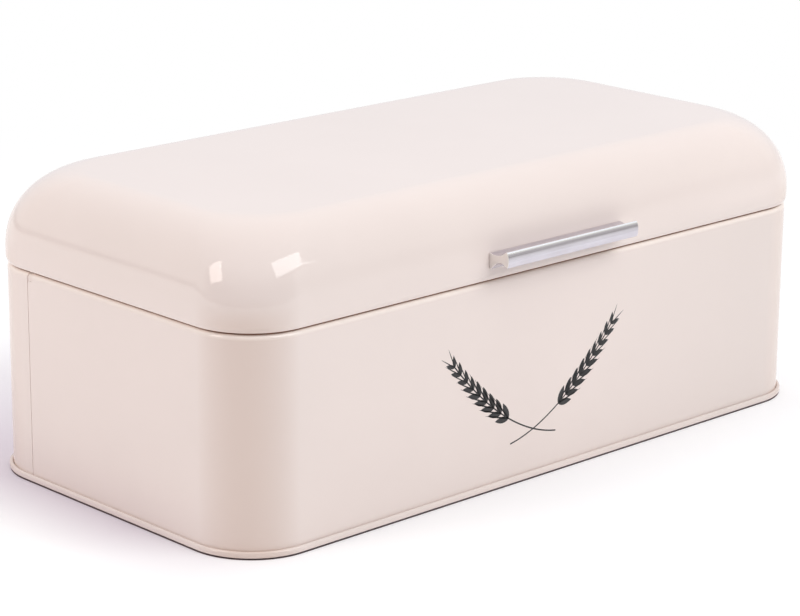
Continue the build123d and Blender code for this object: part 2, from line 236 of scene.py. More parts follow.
def section_tree():
    """Carries a section round rounded corners: grid rows follow the section, columns the outline.
    A section point holds its distance outwards, how far the corners' middles move in, and its height."""
    g = geometry_graph("Carry a section round corners")
    section = g.given("Section", "Geometry")
    length = g.given("half length", "Float")
    depth = g.given("half depth", "Float")
    radius = g.given("corner radius", "Float")
    steps = g.given("corner steps", "Int")
    first = g.given("first corner", "Int")
    corners = g.given("corners", "Int")
    end_y = g.given("end y", "Float")
    shift_y = g.given("middle y", "Float")
    material = g.given("material", "Material")
    rows = g.node("GeometryNodeAttributeDomainSize", None, {"Geometry": section}, "Point Count")
    arc = steps + 1
    last = corners * arc - 1
    grid = g.node("GeometryNodeMeshGrid", None, {"Vertices X": last + 3, "Vertices Y": rows}, "Mesh")
    index = g.node("GeometryNodeInputIndex")
    row = index % rows
    column = (index - row) / rows - 1
    place = g.math("MINIMUM", g.math("MAXIMUM", column, 0), last)
    corner = first + g.math("FLOOR", place / arc)
    heading = (corner + (place % arc) / steps) * (math.pi / 2)
    diagonal = (corner + 0.5) * (math.pi / 2)
    at_end = g.math("ABSOLUTE", column - place)
    point = g.node("GeometryNodeSampleIndex", {"data_type": "FLOAT_VECTOR"},
                   {"Geometry": section, "Value": g.node("GeometryNodeInputPosition"), "Index": row})
    outwards, lean, height = g.split(point)
    core_x, core_y = length - radius, depth - radius
    x = g.math("SIGN", g.math("COSINE", diagonal)) * (core_x - lean)
    run_y = g.math("SIGN", g.math("SINE", diagonal)) * (core_y - lean)
    y = at_end * end_y + (1 - at_end) * run_y
    reach = radius + outwards
    place = g.join(x + reach * g.math("COSINE", heading),
                   shift_y + y + reach * g.math("SINE", heading), height)
    carried = g.node("GeometryNodeSetPosition", None, {"Geometry": grid, "Position": place})
    welded = g.node("GeometryNodeMergeByDistance", None, {"Geometry": carried, "Distance": WELD})
    return g.result(welded, material)


def copies_tree():
    """Sets one small piece at each given place, all turned alike."""
    g = geometry_graph("Set a piece at each place")
    places = g.given("Places", "Geometry")
    piece = g.given("piece", "Object")
    turn = g.given("turn", "Vector")
    material = g.given("material", "Material")
    shape = g.node("GeometryNodeObjectInfo", None, {"Object": piece}, "Geometry")
    set_down = g.node("GeometryNodeInstanceOnPoints", None,
                      {"Points": places, "Instance": shape, "Rotation": turn})
    return g.result(set_down, material)


def holes_tree():
    """Drills a row of round holes along X through a sheet that faces Y."""
    g = geometry_graph("Drill a row of holes")
    metal = g.given("Sheet", "Geometry")
    count = g.given("count", "Int")
    pitch = g.given("pitch", "Float")
    radius = g.given("radius", "Float")
    depth = g.given("depth", "Float")
    y = g.given("y", "Float")
    z = g.given("z", "Float")
    material = g.given("material", "Material")
    row = g.node("GeometryNodeMeshLine", {"mode": "OFFSET"},
                 {"Count": count, "Start Location": g.join((count - 1) * pitch * -0.5, y, z),
                  "Offset": g.join(pitch, 0, 0)})
    drill = g.node("GeometryNodeMeshCylinder", None,
                   {"Vertices": 40, "Radius": radius, "Depth": depth}, "Mesh")
    drills = g.node("GeometryNodeInstanceOnPoints", None,
                    {"Points": row, "Instance": drill, "Rotation": (math.pi / 2, 0, 0)})
    cut = g.node("GeometryNodeMeshBoolean", {"operation": "DIFFERENCE"},
                 {"Mesh 1": metal, "Mesh 2": drills}, "Mesh")
    return g.result(cut, material)


def ear_tree():
    """An ear of wheat printed on a wall: a stem, with grains and awns up both sides of it."""
    spike_skew, tip_shrink, least_size, most_size = 1.2, 0.35, 0.93, 1.07
    g = geometry_graph("Print an ear of wheat")
    line = g.given("Stem", "Geometry")
    pairs = g.given("pairs", "Int")
    ear_start = g.given("ear start", "Float")
    grain_length = g.given("grain length", "Float")
    grain_width = g.given("grain width", "Float")
    grain_lean = g.given("grain lean", "Float")
    awn_length = g.given("awn length", "Float")
    awn_lean = g.given("awn lean", "Float")
    stroke = g.given("stroke", "Float")
    film = g.given("film", "Float")
    wall_y = g.given("wall y", "Float")
    seed = g.given("seed", "Int")
    material = g.given("material", "Material")

    def spike(length, width):
        """Flat pointed shape from the origin along X, as thick as the printed film."""
        disc = g.node("GeometryNodeMeshCylinder", None,
                      {"Vertices": 20, "Radius": 1.0, "Depth": film}, "Mesh")
        x, y, z = g.split(g.node("GeometryNodeInputPosition"))
        along = ((x + 1) / 2) ** spike_skew * length
        return g.node("GeometryNodeSetPosition", None, {"Geometry": disc, "Position": g.join(
            along, 0 - z, y * g.math("ABSOLUTE", y) * width / 2)})

    stem = g.node("GeometryNodeMeshToCurve", None, {"Mesh": line})
    ring = g.node("GeometryNodeCurvePrimitiveCircle", None, {"Resolution": 8, "Radius": stroke / 2})
    tube = g.node("GeometryNodeCurveToMesh", None,
                  {"Curve": stem, "Profile Curve": ring, "Fill Caps": True})
    x, y, z = g.split(g.node("GeometryNodeInputPosition"))
    pressed = g.node("GeometryNodeSetPosition", None, {"Geometry": tube, "Position": g.join(
        x, wall_y + (y - wall_y) * film / stroke, z)})
    ear = g.node("GeometryNodeTrimCurve", None, {"Curve": stem, 2: ear_start, 3: 1.0})
    joints = g.node("GeometryNodeCurveToPoints", {"mode": "COUNT"}, {"Curve": ear, "Count": pairs})
    tangent = Wire(g, joints.socket.node.outputs["Tangent"])
    run, across, rise = g.split(tangent)
    heading = 0 - g.math("ARCTAN2", rise, run)
    age = g.node("GeometryNodeInputIndex") / (pairs - 1)
    odd = g.node("FunctionNodeRandomValue", {"data_type": "FLOAT"},
                 {2: least_size, 3: most_size, "Seed": seed}, 1)
    size = (1 - age * age * tip_shrink) * odd
    parts = [pressed]
    for shape, lean in ((spike(grain_length, grain_width), grain_lean),
                        (spike(awn_length, stroke), awn_lean)):
        for side in (-1, 1):
            parts.append(g.node("GeometryNodeInstanceOnPoints", None, {
                "Points": joints, "Instance": shape,
                "Rotation": g.join(0, heading + lean * side, 0), "Scale": g.join(size, 1, size)}))
    ornament = g.node("GeometryNodeJoinGeometry")
    for part in parts:
        g.tree.links.new(part.socket, ornament.socket.node.inputs[0])
    return g.result(ornament, material)


section_around = section_tree()
copies = copies_tree()
row_of_holes = holes_tree()
printed_ear = ear_tree()


# Finishes

def tint(code):
    """Scene colour of a six-digit screen colour."""
    parts = [int(code[i:i + 2], 16) / 255 for i in (0, 2, 4)]
    return tuple(c / 12.92 if c < 0.04045 else ((c + 0.055) / 1.055) ** 2.4 for c in parts) + (1,)


class Finish(Graph):
    """A material under construction. Its patterns lie on Object coordinates."""

    def __init__(self, name):
        self.material = bpy.data.materials.new(name)
        self.material.use_nodes = True
        super().__init__(self.material.node_tree)
        self.tree.nodes.clear()
        self.place = self.node("ShaderNodeTexCoord", None, None, "Object")

    def stretched(self, x, y, z):
        return self.node("ShaderNodeMapping", None, {"Vector": self.place, "Scale": (x, y, z)})

    def noise(self, scale, detail=2, vector=None):
        """Cloudy pattern from 0 to 1; scale is in features to the metre."""
        return self.node("ShaderNodeTexNoise", None,
                         {"Vector": vector or self.place, "Scale": scale, "Detail": detail})

    def bumps(self, height, depth):
        """Normal of a surface whose height runs over this depth, in metres."""
        return self.node("ShaderNodeBump", None, {"Height": height, "Strength": 1.0, "Distance": depth})

    def done(self, **sockets):
        """Closes the material with one shader."""
        named = {name.replace("_", " "): value for name, value in sockets.items()}
        shader = self.node("ShaderNodeBsdfPrincipled", None, named)
        self.tree.links.new(shader.socket, self.tree.nodes.new("ShaderNodeOutputMaterial").inputs[0])
        return self.material


def enamel():
    """Cream gloss enamel with a faint ripple. Its tone is slightly uneven. Shade is painted round the
    corners, at the right end and in the gap under the lid, and a highlight along the walls' upper roll."""
    f = Finish("cream enamel")
    cloud = f.between(f.noise(11, 3), 0.35, 0.65)
    ripple = f.noise(230, 1)
    grain = f.noise(1500, 2)
    x, y, z = f.split(f.place)
    along = f.between(f.math("ABSOLUTE", x), half_length - corner_radius, half_length)
    across = f.between(f.math("ABSOLUTE", y - middle_y), half_depth - corner_radius, half_depth)
    # Shade painted round the corners, fading out up the lid
    painted_corner_shade = along * across * corner_shade_gain
    painted_corner_shade = painted_corner_shade * f.between(z, *corner_shade_top, 1.0, 0.0, "SMOOTHSTEP")
    # Shade painted into the walls towards their right end
    painted_right_shade = f.between(x, *right_shade_run) * f.between(z, *right_shade_top, 1.0, 0.0)
    plain = f.mix(painted_right_shade, f.mix(cloud, tint("EADDD7"), tint("ECDFD9")), tint("E4D8D2"))
    coat = f.mix(painted_corner_shade, plain, tint("E2D0C6"))
    inwards = corner_radius * (1 - f.math("SQRT", along * along + across * across))
    # Highlight painted along the walls' upper roll
    painted_roll_highlight = (f.between(z, *[body_height - drop for drop in roll_highlight_drop])
               * f.math("LESS_THAN", z, body_height))
    coat = f.mix(painted_roll_highlight * f.between(inwards, *roll_highlight_depth), coat, tint("FFF4EC"))
    # Shade painted in the gap under the lid: brown on the walls' rim, paler on the lid's edge
    gap_middle = (body_height + lid_foot) / 2
    from_gap = f.math("ABSOLUTE", z - gap_middle)
    painted_gap_shade_mask = f.between(from_gap, *gap_shade_reach, 1.0, 0.0, "SMOOTHSTEP")
    painted_gap_shade = f.mix(f.math("GREATER_THAN", z, gap_middle), tint("9A6848"), tint("D2BDB2"))
    colour = f.mix(painted_gap_shade_mask * f.between(inwards, *gap_shade_depth), coat, painted_gap_shade)
    return f.done(Base_Color=colour, Roughness=f.between(cloud, 0, 1, 0.04, 0.06), IOR=1.5,
                  Normal=f.bumps(ripple * 0.8 + grain * 0.2, 0.004 * MM))


def aluminium():
    """Satin anodised aluminium, brushed along its length, with a highlight painted along its upper edge,
    and sawn ends that are rougher and painted lighter.
    """
    f = Finish("brushed aluminium")
    lines = f.noise(1, 3, f.stretched(25, 2600, 2600))
    cloud = f.noise(90, 2)
    shade = f.between(lines * 0.7 + cloud * 0.3, 0.35, 0.65)
    x, y, z = f.split(f.place)
    # The sawn ends are rougher, and their colour carries a painted brightening
    sawn_and_brightened_end = f.math("GREATER_THAN", f.math("ABSOLUTE", x), grip_length / 2 - sawn_depth)
    drawn = f.mix(shade, tint("CAC5CC"), tint("DBD7DE"))
    # Highlight painted along the upper edge
    painted_edge_highlight = (f.between(z, *[grip_high.z - drop for drop in edge_highlight_drop])
                  * f.between(y, *[grip_low.y + depth for depth in edge_highlight_depth]))
    drawn = f.mix(painted_edge_highlight, drawn, tint("FAFAFC"))
    return f.done(Base_Color=f.mix(sawn_and_brightened_end, drawn, tint("EFEBE8")), Metallic=1.0,
                  Roughness=f.between(lines, 0.3, 0.7, 0.16, 0.24) + sawn_and_brightened_end * 0.35,
                  Normal=f.bumps(lines, 0.004 * MM))


def plated_steel():
    """Zinc-plated steel with a fine mottle."""
    f = Finish("plated steel")
    mottle = f.node("ShaderNodeTexVoronoi", None, {"Vector": f.place, "Scale": 900}, "Color")
    patch = f.between(f.noise(260, 3), 0.35, 0.65)
    colour = f.mix(patch * 0.8, tint("B9B9B4"), tint("D2D1CB"))
    return f.done(Base_Color=f.mix(0.06, colour, mottle), Metallic=1.0,
                  Roughness=f.between(patch, 0, 1, 0.24, 0.38),
                  Normal=f.bumps(f.noise(2200, 2), 0.003 * MM))


def foot_rubber():
    """Dark moulded rubber with a fine matte grain."""
    f = Finish("foot rubber")
    grain = f.noise(2400, 3)
    return f.done(Base_Color=f.mix(f.noise(300, 2), tint("2B2B2C"), tint("3B3A3A")),
                  Roughness=f.between(grain, 0.3, 0.7, 0.62, 0.8),
                  Normal=f.bumps(grain, 0.02 * MM))


def clear_silicone():
    """Milky clear silicone."""
    f = Finish("clear silicone")
    cloud = f.noise(700, 2)
    return f.done(Base_Color=f.mix(cloud, tint("E4E2DC"), tint("F2F1EC")),
                  Roughness=f.between(cloud, 0.3, 0.7, 0.22, 0.3), Transmission_Weight=0.6, IOR=1.41,
                  Normal=f.bumps(cloud, 0.01 * MM))


def print_black():
    """Black ink under the gloss, a little thin in places."""
    f = Finish("black print")
    wear = f.between(f.noise(900, 3), 0.3, 0.75)
    return f.done(Base_Color=f.mix(wear, tint("1A1A1B"), tint("2C2B2C")),
                  Roughness=f.between(wear, 0, 1, 0.28, 0.36),
                  Normal=f.bumps(f.noise(1800, 2), 0.004 * MM))


finishes = {"cream_enamel": enamel(), "brushed_aluminium": aluminium(), "plated_steel": plated_steel(),
            "foot_rubber": foot_rubber(), "clear_silicone": clear_silicone(),
            "print_black": print_black()}


# Meshes

def points_mesh(points, line=False):
    """A mesh of points, joined to one line if asked."""
    mesh = bpy.data.meshes.new("points")
    edges = [(i, i + 1) for i in range(len(points) - 1)] if line else []
    mesh.from_pydata(points, edges, [])
    return mesh


def ahead(heading):
    return Vector((math.cos(heading), math.sin(heading)))


def bent_sheet(points, radii):
    """Both faces of a bent sheet that lies to the left of the points, with its bends as arcs."""
    corners = [Vector(p) for p in points]
    headings = [math.atan2(*reversed(b - a)) for a, b in zip(corners, corners[1:])]
    left = math.pi / 2
    face = [corners[0]]
    back = [corners[0] + sheet * ahead(headings[0] + left)]
    for corner, radius, before, after in zip(corners[1:-1], radii, headings, headings[1:]):
        turn = (after - before + math.pi) % (2 * math.pi) - math.pi
        side = math.copysign(1, turn)
        start = corner - radius * math.tan(abs(turn) / 2) * ahead(before)
        centre = start + side * radius * ahead(before + left)
        steps = math.ceil(abs(turn) / bend_step)
        for i in range(steps + 1):
            across = ahead(before + turn * i / steps + left)
            face.append(centre - side * radius * across)
            back.append(centre - side * (radius - side * sheet) * across)
    face.append(corners[-1])
    back.append(corners[-1] + sheet * ahead(headings[-1] + left))
    return face, back


def upright(line):
    """Section points of a line of (distance outwards, height)."""
    return [(p[0], 0.0, p[1]) for p in line]


def closed(mesh):
    """Closes a shell's open ends and turns its faces outwards."""
    shell = bmesh.new()
    shell.from_mesh(mesh)
    bmesh.ops.remove_doubles(shell, verts=shell.verts, dist=WELD)
    bmesh.ops.holes_fill(shell, edges=[e for e in shell.edges if e.is_boundary], sides=0)
    bmesh.ops.recalc_face_normals(shell, faces=shell.faces)
    shell.to_mesh(mesh)
    shell.free()
    return mesh


def helper_with(mesh, kind, **settings):
    """A helper object that carries the mesh and one modifier."""
    helper = bpy.data.objects.new("helper", mesh)
    bpy.context.scene.collection.objects.link(helper)
    modifier = helper.modifiers.new("Change", kind)
    for name, value in settings.items():
        setattr(modifier, name, value)
    return helper


def shaded(mesh):
    """Smooth faces that keep their corners sharp and their flat parts flat."""
    mesh.polygons.foreach_set("use_smooth", [True] * len(mesh.polygons))
    mesh.set_sharp_from_angle(angle=crease_angle)
    return taken(helper_with(mesh, "WEIGHTED_NORMAL", keep_sharp=True))


def around(section, slot, size=(half_length, half_depth, corner_radius), first=0, corners=4, end_y=0.0):
    """A section carried round the box, or round part of it."""
    return closed(grown(points_mesh(section), section_around, half_length=size[0],
                        half_depth=size[1], corner_radius=size[2], corner_steps=corner_steps,
                        first_corner=first, corners=corners, end_y=end_y, middle_y=middle_y,
                        material=finishes[slot]))


def piece(name, mesh, body, slot, *nodes):
    """Adds a finished piece that rides on a body and stands for these CAD nodes."""
    mesh.name = name
    mesh.materials.clear()
    mesh.materials.append(finishes[slot])
    made = bpy.data.objects.new(name, mesh)
    bpy.context.scene.collection.objects.link(made)
    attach(made, body)
    if nodes:
        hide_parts(*nodes)
    return made


def drawn_out(outline, start, end, along="X"):
    """An outline of (y, z) drawn out along X, or one of (x, z) along Y."""
    count = len(outline)
    points = [(step, side, z) if along == "X" else (side, step, z)
              for step in (start, end) for side, z in outline]
    sides = [(i, (i + 1) % count, (i + 1) % count + count, i + count) for i in range(count)]
    mesh = bpy.data.meshes.new("block")
    mesh.from_pydata(points, [], sides + [tuple(range(count)), tuple(range(count, 2 * count))])
    return closed(mesh)


def joined(mesh, other):
    """Both meshes in one."""
    both = bmesh.new()
    both.from_mesh(mesh)
    both.from_mesh(other)
    both.to_mesh(mesh)
    both.free()
    return mesh


def without(mesh, cutter):
    """The mesh less the cutter's space."""
    tool = bpy.data.objects.new("cutter", cutter)
    bpy.context.scene.collection.objects.link(tool)
    cut = taken(helper_with(mesh, "BOOLEAN", operation="DIFFERENCE", object=tool, solver="EXACT"))
    bpy.data.objects.remove(tool)
    return cut


def arc(centre, radius, start, end, steps=6):
    """Points of an arc, angles in degrees."""
    return [tuple(Vector(centre) + radius * ahead(math.radians(start + (end - start) * i / steps)))
            for i in range(steps + 1)]


# Walls and pan

def wall_section(depth_in):
    """Closed section of a wall with its rolled rim, lying depth_in inside the wrap's face."""
    top = body_height - depth_in
    face, back = bent_sheet(
        [(-depth_in, wall_foot), (-depth_in, top), (depth_in - rim_width, top),
         (depth_in - rim_width, body_height - rim_lip)], [rim_bend - depth_in, lip_bend - depth_in])
    return upright(face + back[::-1] + face[:1])


def front_wrap():
    """Front, sides and front corners. Its upper rear corners step down and leave its rim short."""
    mesh = around(wall_section(0), "cream_enamel", first=2, corners=2, end_y=seam_y - middle_y)
    front, rear = seam_y - seam_notch, seam_y + seam_notch
    step, above = body_height - seam_drop, body_height + rim_lip
    outline = (arc((seam_y - seam_round, step - seam_round), seam_round, 0, 90)
               + arc((front + seam_round, step + seam_round), seam_round, 270, 180)
               + [(front, above), (rear, above), (rear, step - seam_round)])
    mesh = without(mesh, drawn_out(outline, -2 * half_length, 2 * half_length))
    inside = half_length - rim_bend
    low, high = step - rim_lip, body_height + rim_lip
    return without(mesh, drawn_out([(front, low), (rear, low), (rear, high), (front, high)],
                                   -inside, inside))


def back_panel():
    """Back and rear corners, with a row of air holes. Past the wrap's edge it steps inwards, and a
    strip of it lies inside the wrap."""
    mesh = around(wall_section(0), "cream_enamel", first=0, corners=2,
                  end_y=seam_y + seam_groove - middle_y)
    mesh = grown(mesh, row_of_holes, count=vent_count, pitch=vent_pitch, radius=vent_radius,
                 depth=4 * rim_bend, y=middle_y + half_depth, z=body_height - vent_drop,
                 material=finishes["cream_enamel"])
    for side in (-1, 1):
        strip = [(side * (half_length + out), height) for out, lean, height in wall_section(sheet)]
        mesh = joined(mesh, drawn_out(strip, panel_start, seam_y + seam_groove + step_run, "Y"))
    return mesh


def base_pan():
    """Floor, leg inside the walls and the bead rolled up round them."""
    leg = -(3 * sheet + seam_gap)
    face, back = bent_sheet(
        [(-corner_radius, pan_foot + floor_rise), (leg, pan_foot + floor_rise), (leg, pan_foot),
         (bead_reach, pan_foot), (bead_reach, pan_foot + bead_height),
         (seam_gap, pan_foot + bead_height), (seam_gap, pan_foot + hook_rise)],
        [fold_bend, fold_bend, bead_bend, bead_bend, fold_bend])
    return around(upright(back + face[::-1]), "cream_enamel")


def lid_shell():
    """Domed lid in one sheet: flat top, pressed shoulder, upright band and turned-in edge."""
    dome_foot = lid_foot + band_height
    dome_rise = lid_top - dome_foot
    rim = -(rim_width + lid_overhang)
    face, back = bent_sheet(
        [(rim, lid_foot + lid_lip), (rim, lid_foot), (-turn_in, lid_foot), (0, lid_foot + turn_height),
         (0, dome_foot)], [lip_bend, lid_fold_bend, turn_bend])

    def shoulder(depth_in):
        top = [(-depth_in, dome_run - depth_in + top_margin, lid_top - depth_in)]
        for i in range(dome_steps):
            angle = math.pi / 2 * (1 - i / dome_steps)
            top.append((-depth_in, (dome_run - depth_in) * (1 - math.cos(angle)),
                        dome_foot + (dome_rise - depth_in) * math.sin(angle)))
        return top

    section = shoulder(0) + upright(face[::-1] + back) + shoulder(sheet)[::-1]
    return around(section, "cream_enamel",
                  (lid_half_length, lid_half_depth, corner_radius + lid_overhang))


piece("front_wrap_sheet", shaded(front_wrap()), "box", "cream_enamel", "front_wrap")
piece("back_panel_sheet", shaded(back_panel()), "box", "cream_enamel", "back_panel")
piece("base_pan_sheet", shaded(base_pan()), "box", "cream_enamel", "base_pan")
piece("lid_shell_sheet", shaded(lid_shell()), "lid", "cream_enamel", "lid_shell")


# Grip

seat_z = lid_foot + grip_rise + grip_height / 2
seat_share = (seat_z - lid_foot - band_height) / (lid_top - lid_foot - band_height)
seat_inset = dome_run * (1 - math.sqrt(1 - seat_share ** 2))
seat_tilt = math.atan(dome_run / (lid_top - lid_foot - band_height) * seat_share
                      / math.sqrt(1 - seat_share ** 2))
grip_seat = (Matrix.Translation((0, middle_y - lid_half_depth + seat_inset, seat_z))
             @ Matrix.Rotation(math.pi / 2 - seat_tilt, 4, "X"))


def hollow(start, end, middle):
    """Smooth curve from start through (middle, height half-way) to end, as a parabola in height."""
    points = []
    for i in range(hollow_steps + 1):
        share = i / hollow_steps
        straight = Vector(start).lerp(Vector(end), share)
        chord_middle = (start[0] + end[0]) / 2
        points.append((straight.x + (middle - chord_middle) * 4 * share * (1 - share), straight.y))
    return points


def grip_outline():
    """Section of the grip: up the lid's face, and out of it."""
    flange_top = grip_height / 2
    lip_top = flange_top + grip_lift
    lip_foot = lip_top - grip_height
    front = grip_gap + grip_depth
    face = front - lip_crown
    top = hollow((flange_top, grip_gap + grip_edge), (lip_top, front - lip_edge),
                 flange_top + grip_lift / 2 - grip_dip)
    crown = []
    middle, half = (lip_top + lip_foot) / 2, grip_height / 2
    for i in range(crown_steps + 1):
        y = lip_top - lip_round - (grip_height - lip_round) * i / crown_steps
        crown.append((y, face + lip_crown * (1 - ((y - middle) / half) ** 2)))
    corner = arc((lip_top - lip_round, crown[0][1] - lip_round), lip_round, 0, 90)
    under = hollow((lip_foot, front - grip_edge), (-flange_top, grip_gap + grip_edge),
                   grip_lift / 2 + grip_arch - flange_top)
    return ([(-flange_top, grip_gap), (flange_top, grip_gap)] + top + corner + crown[1:] + under)


def handle_grip():
    mesh = drawn_out(grip_outline(), -grip_length / 2, grip_length / 2)
    mesh = taken(helper_with(mesh, "BEVEL", width=edge_break, segments=3, limit_method="ANGLE",
                             angle_limit=bevel_angle))
    mesh.transform(grip_seat)
    return mesh


piece("grip_profile", shaded(handle_grip()), "lid", "brushed_aluminium", "handle_grip")


# Hinges and fasteners

def softened(node, width=leaf_break):
    """A CAD node's shape with its corners broken."""
    shape = bmesh.new()
    shape.from_mesh(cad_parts[node].data)
    bmesh.ops.remove_doubles(shape, verts=shape.verts, dist=WELD)
    bmesh.ops.dissolve_limit(shape, angle_limit=math.radians(1), verts=shape.verts,
                             edges=shape.edges)
    mesh = bpy.data.meshes.new(node)
    shape.to_mesh(mesh)
    shape.free()
    return taken(helper_with(mesh, "BEVEL", width=width, segments=2, limit_method="ANGLE",
                             angle_limit=bevel_angle, use_clamp_overlap=True))


for side in ("left", "right"):
    for part, body in (("body_leaf", "box"), ("lid_leaf", "lid"), ("pin", "box")):
        node = f"hinge_{side}_{part}"
        piece(node + "_finished", shaded(softened(node)), body, "plated_steel", node)
    for part in ("screw", "washer"):
        node = f"handle_{part}_{side}"
        piece(node + "_finished", shaded(softened(node, screw_break)), "lid", "plated_steel", node)


def turned(section, slot):
    """A small round piece about the Z axis."""
    return closed(grown(points_mesh([(r, 0, z) for r, z in section]), section_around,
                        half_length=0.0, half_depth=0.0, corner_radius=0.0,
                        corner_steps=turned_steps, first_corner=0, corners=4, end_y=0.0,
                        middle_y=0.0, material=finishes[slot]))


def rounded_head(radius, foot, height):
    """Points of a head from its rim, which lies at this foot, up to its middle."""
    angles = [math.radians(step) for step in range(0, 91, 10)]
    return [(radius * math.cos(angle), foot + height * math.sin(angle)) for angle in angles]


def set_of(name, mesh, places, turn, body, slot, *nodes):
    """Copies of one small piece at each place, as one piece."""
    one = bpy.data.objects.new("one", mesh)
    bpy.context.scene.collection.objects.link(one)
    every = grown(points_mesh(places), copies, piece=one, turn=turn, material=finishes[slot])
    bpy.data.objects.remove(one)
    return piece(name, shaded(every), body, slot, *nodes)


def middle_of(node):
    low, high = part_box(node)
    return (low + high) / 2


rivet_end = -rivet_grip - rivet_tail_height
rivet_section = ([(0, rivet_end), (rivet_tail * tail_taper, rivet_end),
                  (rivet_tail, -rivet_grip - rivet_tail_height * rim_share),
                  (rivet_tail, -rivet_grip), (rivet_shank, -rivet_grip), (rivet_shank, 0),
                  (rivet_head, 0), (rivet_head, rivet_rise * rim_share)]
                 + rounded_head(rivet_head, rivet_rise, rivet_height - rivet_rise))


def rivet_places(part):
    """Both rivets of one leaf on each hinge, at the face that their heads lie on."""
    places = []
    for side in ("left", "right"):
        low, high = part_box(f"hinge_{side}_{part}_rivets")
        head_face = high.y - rivet_height
        for step in (-1, 1):
            places.append(((low.x + high.x + step * rivet_spacing) / 2, head_face, (low.z + high.z) / 2))
    return places


for part, body in (("body", "box"), ("lid", "lid")):
    set_of(f"hinge_rivets_{part}", turned(rivet_section, "plated_steel"), rivet_places(part),
           (-math.pi / 2, 0, 0), body, "plated_steel",
           *[f"hinge_{side}_{part}_rivets" for side in ("left", "right")])

corners = [f"{end}_{side}" for end in ("front", "rear") for side in ("left", "right")]
foot_low, foot_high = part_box("foot_front_left")
foot_radius, foot_height = (foot_high.x - foot_low.x) / 2, foot_high.z
foot_section = ([(0, foot_hollow), (foot_radius - foot_wall - foot_hollow / 2, foot_hollow),
                 (foot_radius - foot_wall, 0)]
                + arc((foot_radius - foot_round, foot_round), foot_round, -90, 0, 5)
                + [(foot_radius, foot_height), (0, foot_height)])
set_of("rubber_feet", turned(foot_section, "foot_rubber"),
       [(*middle_of("foot_" + c).xy, 0) for c in corners], (0, 0, 0), "box", "foot_rubber",
       *["foot_" + c for c in corners])

bumper_low, bumper_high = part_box("bumper_front_left")
bumper_radius, bumper_height = (bumper_high.x - bumper_low.x) / 2, bumper_high.z - bumper_low.z
set_of("silicone_bumpers",
       turned([(0, 0)] + rounded_head(bumper_radius, 0, bumper_height), "clear_silicone"),
       [(*middle_of("bumper_" + c).xy, bumper_low.z) for c in corners], (0, 0, 0), "box",
       "clear_silicone", *["bumper_" + c for c in corners])


# Printed ornament: two ears of wheat whose stems cross, a traditional motif for a bread box

print_middle = Vector((-13 * MM, 52 * MM))
stem_start, stem_bend, stem_end = Vector((-17, -30)) * MM, Vector((20, -24)) * MM, Vector((58, 20)) * MM
stem_steps = 32


def stem_line(side):
    """Points of one stem on the front wall."""
    points = []
    for i in range(stem_steps + 1):
        t = i / stem_steps
        p = stem_start * (1 - t) ** 2 + stem_bend * 2 * t * (1 - t) + stem_end * t * t
        points.append((print_middle.x + side * p.x, wall_front, print_middle.y + p.y))
    return points


for side, word in ((-1, "left"), (1, "right")):
    mesh = grown(points_mesh(stem_line(side), line=True), printed_ear, pairs=9, ear_start=0.42,
                 grain_length=9.5 * MM, grain_width=3.4 * MM, grain_lean=0.55, awn_length=17 * MM,
                 awn_lean=0.3, stroke=0.8 * MM, film=0.06 * MM, wall_y=wall_front, seed=3,
                 material=finishes["print_black"])
    piece(f"printed_ear_{word}", mesh, "box", "print_black")


# Floor, light and camera

def add_light(name, place, width_along, height_along, size, power, colour=(1, 1, 1)):
    """A soft box whose middle is at a place in mm. Its sides lie along two directions, and it shines
    where their cross product points away from."""
    light = bpy.data.lights.new(name, "AREA")
    light.shape = "RECTANGLE"
    light.size, light.size_y, light.energy, light.color = *size, power, colour
    lamp = bpy.data.objects.new(name, light)
    bpy.context.scene.collection.objects.link(lamp)
    away = Vector(width_along).cross(Vector(height_along)).normalized()
    along = Vector(width_along).normalized()
    lamp.matrix_world = (Matrix.Translation(Vector(place) * MM)
                         @ Matrix((along, away.cross(along), away)).transposed().to_4x4())


add_light("left soft box", (-1418, 293, 943), (0.787, -0.616, -0.021), (0.335, 0.4, 0.853),
          (0.84, 0.6), 8.5, (1, 0.875, 0.815))
add_light("right soft box", (380, -1092, 1121), (0.983, -0.17, 0.061), (-0.027, 0.195, 0.98),
          (1.19, 0.64), 10.3)


def seen(g):
    """One for rays that show the backdrop, the camera's own and those that a piece lets through, and
    one for those that a piece mirrors. Both are zero for the rays that light the object."""
    rays = g.node("ShaderNodeLightPath").socket.node
    own, mirrored, passed = [Wire(g, rays.outputs[f"Is {kind} Ray"])
                             for kind in ("Camera", "Glossy", "Transmission")]
    return g.math("MAXIMUM", own, passed), mirrored


# Floor. Each pair is where a change starts and where it is complete.
floor_size = 6.0
floor_fade = 0.35, 0.8                      # distance over which the floor turns plain white
shade_reach = 50 * MM, 5 * MM               # distance from the box, for the soft shadow painted at its left
shade_front, shade_right = (-110 * MM, -20 * MM), (50 * MM, -50 * MM)
shade_stretch = 0.25                        # the painted shadow reaches four times as far behind the box
contact_inset = 0.4 * MM                    # the painted contact shadow ends this far inside the bead
